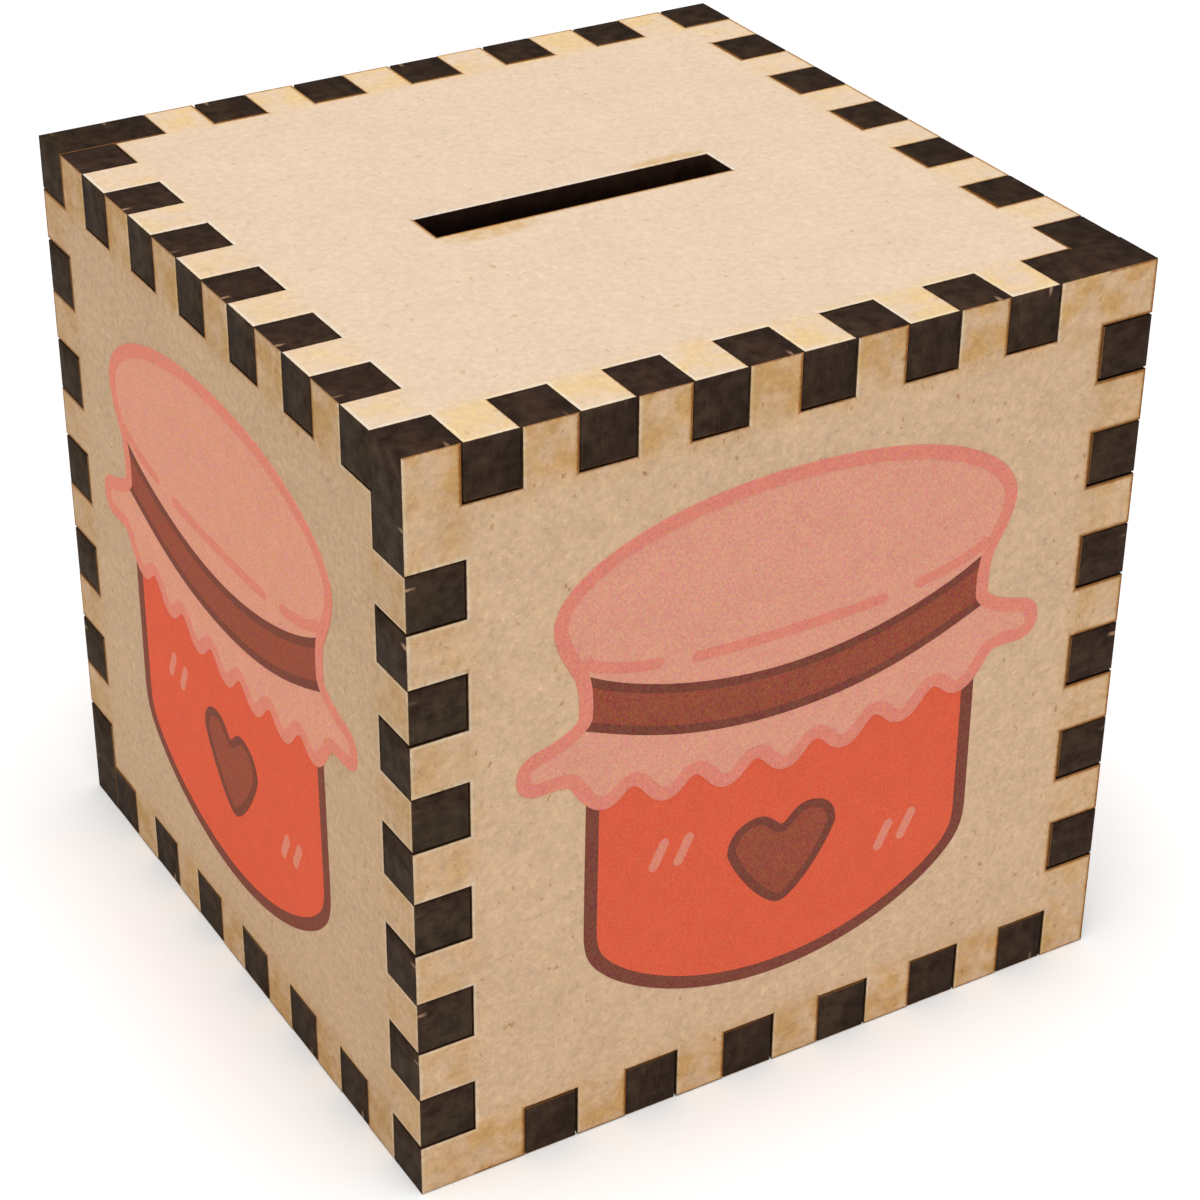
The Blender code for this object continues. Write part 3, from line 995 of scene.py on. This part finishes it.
def board_material(fibre, haze, char):
    material, graph = fresh_material("scorched_fibreboard")
    burn, recess_shade, stock, tone, edge_side = (
        attribute(graph, name, "Fac") for name in ("burn", "recess_shade", "stock", "tone", "edge_side"))
    place = attribute(graph, "place", "Vector")
    pattern = place + graph.scaled(NEXT_SHEET, stock)
    is_top = graph.maths("COMPARE", stock, TOP, 0.1)
    is_left = graph.maths("COMPARE", stock, LEFT, 0.1)

    contrast = WALL_CONTRAST - is_top * (WALL_CONTRAST - TOP_CONTRAST)
    pressed = placed(graph, fibre, {"Place": pattern, "Contrast": contrast}).outputs
    # Painted shade: the tone and the tint below darken the left board
    face = graph.mix(1.0, BOARD_COLOUR, graph.scaled(pressed["Tint"], tone), "MULTIPLY")
    face = graph.tinted(is_left, face, LEFT_SHADE_TINT)
    smoke = placed(graph, haze, {"Place": place, "Pattern": pattern, "Slot": is_top}).outputs
    face = graph.tinted(smoke["Rim"] * HAZE_STRENGTH, face, graph.mix(is_top, HAZE_AND_HIGHLIGHT_TINT, TOP_HAZE_TINT))
    face = graph.tinted(smoke["Beside Slot"], face, HAZE_AND_HIGHLIGHT_TINT)
    # Painted highlights on the arrises, set by the way the cut faces: pale on one side, golden on the
    # other
    arris_highlight = graph.ramp(burn, *ARRIS_HIGHLIGHT_BAND) * graph.ramp(edge_side, 0.3, 0.9)
    face = graph.tinted(arris_highlight, face, ARRIS_HIGHLIGHT_TINT)
    golden_highlight = graph.ramp(burn, *GOLDEN_HIGHLIGHT_BAND) * graph.ramp(edge_side, -0.3, -0.9, 0.0, 0.8)
    face = graph.tinted(golden_highlight, face, HAZE_AND_HIGHLIGHT_TINT)

    ragged = graph.noise(pattern, 1 / RAGGED_SIZE, detail=2.0, roughness=0.6)
    edge = burn + (ragged - 0.5) * RAGGED_DEPTH
    leaning = graph.ramp(edge_side, -1.0, 1.0, 1.0, -1.0) * SCORCH_DRIFT
    scorch = graph.ramp(edge + leaning, *SCORCH_BAND) * SCORCH_DEPTH
    inside = graph.parts_of(place)[2] < 0.0
    hidden = inside * graph.ramp(edge, *HIDDEN_SCORCH_BAND)
    face = graph.tinted(graph.maths("MAXIMUM", scorch, hidden), face, SCORCH_TINT)

    cut = placed(graph, char, {"Place": place, "Pattern": pattern}).outputs
    wall = graph.mix(cut["Tone"], CHAR_DARK, CHAR_LIGHT)
    facing = graph.parts_of(graph.node("ShaderNodeNewGeometry").outputs["Normal"])
    up = graph.maths("MAXIMUM", facing[2], 0)
    # Painted light: the char is lighter and greyer where it faces left and on the left board
    leftward = graph.maths("MAXIMUM", facing[0] * -1, is_left * (1 - up))
    wall = graph.tinted(leftward, wall, LEFT_CHAR_LIT_TINT)
    wall = graph.mix(cut["Nicks"], wall, NICK_COLOUR)
    # Painted shade on the walls of the slot and the hole
    wall = graph.tinted(recess_shade, wall, RECESS_SHADE_TINT)
    # Painted shade: the char is darker where it faces up
    wall = graph.tinted(up, wall, UPWARD_CHAR_SHADE_TINT)
    # Painted shade: upward char on the right and back boards is darker still
    right_or_back = graph.maths("COMPARE", stock, (RIGHT + BACK) / 2, 0.6)
    wall = graph.tinted(up * right_or_back, wall, FAR_CHAR_SHADE_TINT)
    charred = graph.ramp(burn, *CHAR_BAND)

    roughness = FACE_ROUGHNESS + charred * CHAR_EXTRA_ROUGHNESS
    roughness = roughness + (pressed["Shade"] - 1) * -0.6
    relief = graph.node("ShaderNodeMix", {
        0: charred, 2: pressed["Relief"], 3: cut["Relief"] * 2.0}, data_type="FLOAT").outputs[0]
    shader = graph.node("ShaderNodeBsdfPrincipled", {
        "Base Color": graph.mix(charred, face, wall), "Roughness": roughness,
        "Specular IOR Level": DULL_GLOSS, "Normal": bumped(graph, relief, 0.03 * MM, 0.6)})
    finished(graph, shader.outputs[0])
    return material


INKS = {
    "jam": (0.712, 0.118, 0.060),
    "shine": (0.700, 0.245, 0.180),
    "jar_line": (0.200, 0.061, 0.043),
    "cloth": (0.717, 0.333, 0.245),
    "cloth_line": (0.713, 0.246, 0.187),
    "ribbon": (0.305, 0.078, 0.046),
    "ribbon_line": (0.195, 0.058, 0.041),
}


def ink_material(name, colour, grain):
    material, graph = fresh_material("ink_" + name)
    place = graph.node("ShaderNodeTexCoord").outputs["Object"]
    dark = colour[0] < 0.5
    pale = colour[2] > 0.15
    stipple = placed(graph, grain, {
        "Place": place, "Depth": DARK_STIPPLE_DEPTH if dark else STIPPLE_DEPTH}).outputs
    tinted = graph.mix(1.0, (*colour, 1.0), stipple["Tint"], "MULTIPLY")
    # Painted light: the same inks are lighter and warmer on the left wall
    on_left = graph.parts_of(place)[0] < 0.5 * MM - HALF
    tinted = graph.tinted(on_left, tinted, LEFT_PALE_INK_LIT_TINT if pale else LEFT_DEEP_INK_LIT_TINT)
    shader = graph.node("ShaderNodeBsdfPrincipled", {
        "Base Color": tinted, "Roughness": stipple["Shade"] * INK_ROUGHNESS,
        "Specular IOR Level": DULL_GLOSS, "Normal": bumped(graph, stipple["Shade"], 0.02 * MM, 0.5)})
    finished(graph, shader.outputs[0])
    return material


def rubber_material(grain):
    material, graph = fresh_material("stopper_rubber")
    place = graph.node("ShaderNodeTexCoord").outputs["Object"]
    shade = placed(graph, grain, {"Place": place, "Dot Size": 0.22 * MM, "Depth": 0.35}).outputs["Shade"]
    dust = graph.ramp(graph.noise(place, 1 / DUST_SIZE, detail=4.0, roughness=0.6), 0.45, 0.75)
    black = graph.mix(1.0, RUBBER_COLOUR, graph.xyz(shade, shade, shade), "MULTIPLY")
    shader = graph.node("ShaderNodeBsdfPrincipled", {
        "Base Color": graph.mix(dust * 0.35, black, DUST_COLOUR),
        "Roughness": graph.ramp(dust, 0.0, 1.0, 0.42, 0.62),
        "Normal": bumped(graph, shade, 0.05 * MM, 0.5)})
    finished(graph, shader.outputs[0])
    return material


# ---------------------------------------------------------------- stopper

def dress_stopper(material):
    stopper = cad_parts["base_stopper"]
    stopper.data.materials.clear()
    stopper.data.materials.append(material)


# ---------------------------------------------------------------- stage, light and camera

FLOOR_REACH = 3.0
FLOOR_LAP = 0.5 * MM          # how far the floor runs in under the box
FLOOR_DROP = 0.05 * MM        # keeps the floor clear of the base board's underside
FLOOR_SEEN = (0.83, 0.78, 0.70, 1.0)
FLOOR_REFLECTED = (0.80, 0.72, 0.62, 1.0)
ROOM_COLOUR = (1.0, 0.96, 0.90, 1.0)
ROOM_STRENGTH = 0.24


def make_floor():
    """A pale floor that only shows from above, open under the box so that light reaches the base."""
    material, graph = fresh_material("studio_floor")
    seen = graph.node("ShaderNodeLightPath").outputs["Is Camera Ray"]
    paint = graph.node("ShaderNodeBsdfPrincipled", {
        "Base Color": graph.mix(seen, FLOOR_REFLECTED, FLOOR_SEEN), "Roughness": 0.9,
        "Specular IOR Level": 0.0})
    clear = graph.node("ShaderNodeBsdfTransparent")
    behind = graph.node("ShaderNodeNewGeometry").outputs["Backfacing"]
    mixed = graph.node("ShaderNodeMixShader", {0: behind, 1: paint.outputs[0], 2: clear.outputs[0]})
    finished(graph, mixed.outputs[0])
    corners = ((-1, -1), (1, -1), (1, 1), (-1, 1))
    reaches = (FLOOR_REACH, HALF - FLOOR_LAP)
    points = [(x * reach, y * reach, -FLOOR_DROP) for reach in reaches for x, y in corners]
    faces = [(k, (k + 1) % 4, 4 + (k + 1) % 4, 4 + k) for k in range(4)]
    mesh = bpy.data.meshes.new("floor")
    mesh.from_pydata(points, [], faces)
    mesh.materials.append(material)
    floor = bpy.data.objects.new("floor", mesh)
    bpy.context.scene.collection.objects.link(floor)


def make_world():
    """Soft light from all round, with a white backdrop where the camera looks straight at it."""
    world = bpy.data.worlds.new("studio")
    world.use_nodes = True
    world.node_tree.nodes.clear()
    graph = Graph(world.node_tree)
    light = graph.node("ShaderNodeBackground", {"Color": ROOM_COLOUR, "Strength": ROOM_STRENGTH})
    backdrop = graph.node("ShaderNodeBackground", {"Color": (1.0, 1.0, 1.0, 1.0), "Strength": 1.0})
    seen = graph.node("ShaderNodeLightPath").outputs["Is Camera Ray"]
    mixed = graph.node("ShaderNodeMixShader", {0: seen, 1: light.outputs[0], 2: backdrop.outputs[0]})
    graph.node("ShaderNodeOutputWorld", {"Surface": mixed.outputs[0]})
    bpy.context.scene.world = world


def sun(name, azimuth, elevation, strength, spread, colour):
    """A wide soft light from far away, shining towards the box from that side."""
    lamp = bpy.data.lights.new(name, "SUN")
    lamp.energy = strength
    lamp.angle = math.radians(spread)
    lamp.color = colour
    made = bpy.data.objects.new(name, lamp)
    made.rotation_euler = (math.radians(90 - elevation), 0.0, math.radians(azimuth))
    bpy.context.scene.collection.objects.link(made)


def make_lights():
    sun("overhead", -35.0, 85.0, 4.0, 40.0, (0.765, 0.852, 1.0))
    sun("front_fill", -35.0, 25.0, 0.85, 60.0, (1.0, 0.85, 0.66))
    sun("under_fill", -35.0, -60.0, 1.6, 60.0, (0.90, 0.95, 1.0))


CAMERA_AZIMUTH = -30.957
CAMERA_ELEVATION = 30.966
CAMERA_ROLL = 0.565
CAMERA_DISTANCE = 3.921 * SIDE
CAMERA_RIGHT = 0.0336 * SIDE
CAMERA_UP = -0.0675 * SIDE
LENS = 89.885


def make_camera():
    azimuth, elevation = math.radians(CAMERA_AZIMUTH), math.radians(CAMERA_ELEVATION)
    back = Vector((math.sin(azimuth) * math.cos(elevation), -math.cos(azimuth) * math.cos(elevation),
                   math.sin(elevation)))
    level = Vector((0.0, 0.0, 1.0)).cross(back).normalized()
    upright = back.cross(level)
    roll = math.radians(CAMERA_ROLL)
    right = math.cos(roll) * level + math.sin(roll) * upright
    up = math.cos(roll) * upright - math.sin(roll) * level
    turn = Matrix((right, up, back)).transposed().to_4x4()
    place = CENTRE + back * CAMERA_DISTANCE + right * CAMERA_RIGHT + up * CAMERA_UP
    lens = bpy.data.cameras.new("camera")
    lens.lens = LENS
    lens.sensor_width = 36.0
    lens.clip_start = 0.01
    camera = bpy.data.objects.new("camera", lens)
    camera.matrix_world = Matrix.Translation(place) @ turn
    bpy.context.scene.collection.objects.link(camera)
    bpy.context.scene.camera = camera


def main():
    grain = print_grain_group()
    board = board_material(fibre_group(), haze_group(), char_group())
    make_boards(box_board_tree(finger_outline_tree(), cut_board_tree()), board)
    make_print({name: ink_material(name, colour, grain) for name, colour in INKS.items()})
    dress_stopper(rubber_material(grain))
    make_floor()
    make_world()
    make_lights()
    make_camera()
    bpy.context.scene.view_settings.view_transform = "Standard"


main()
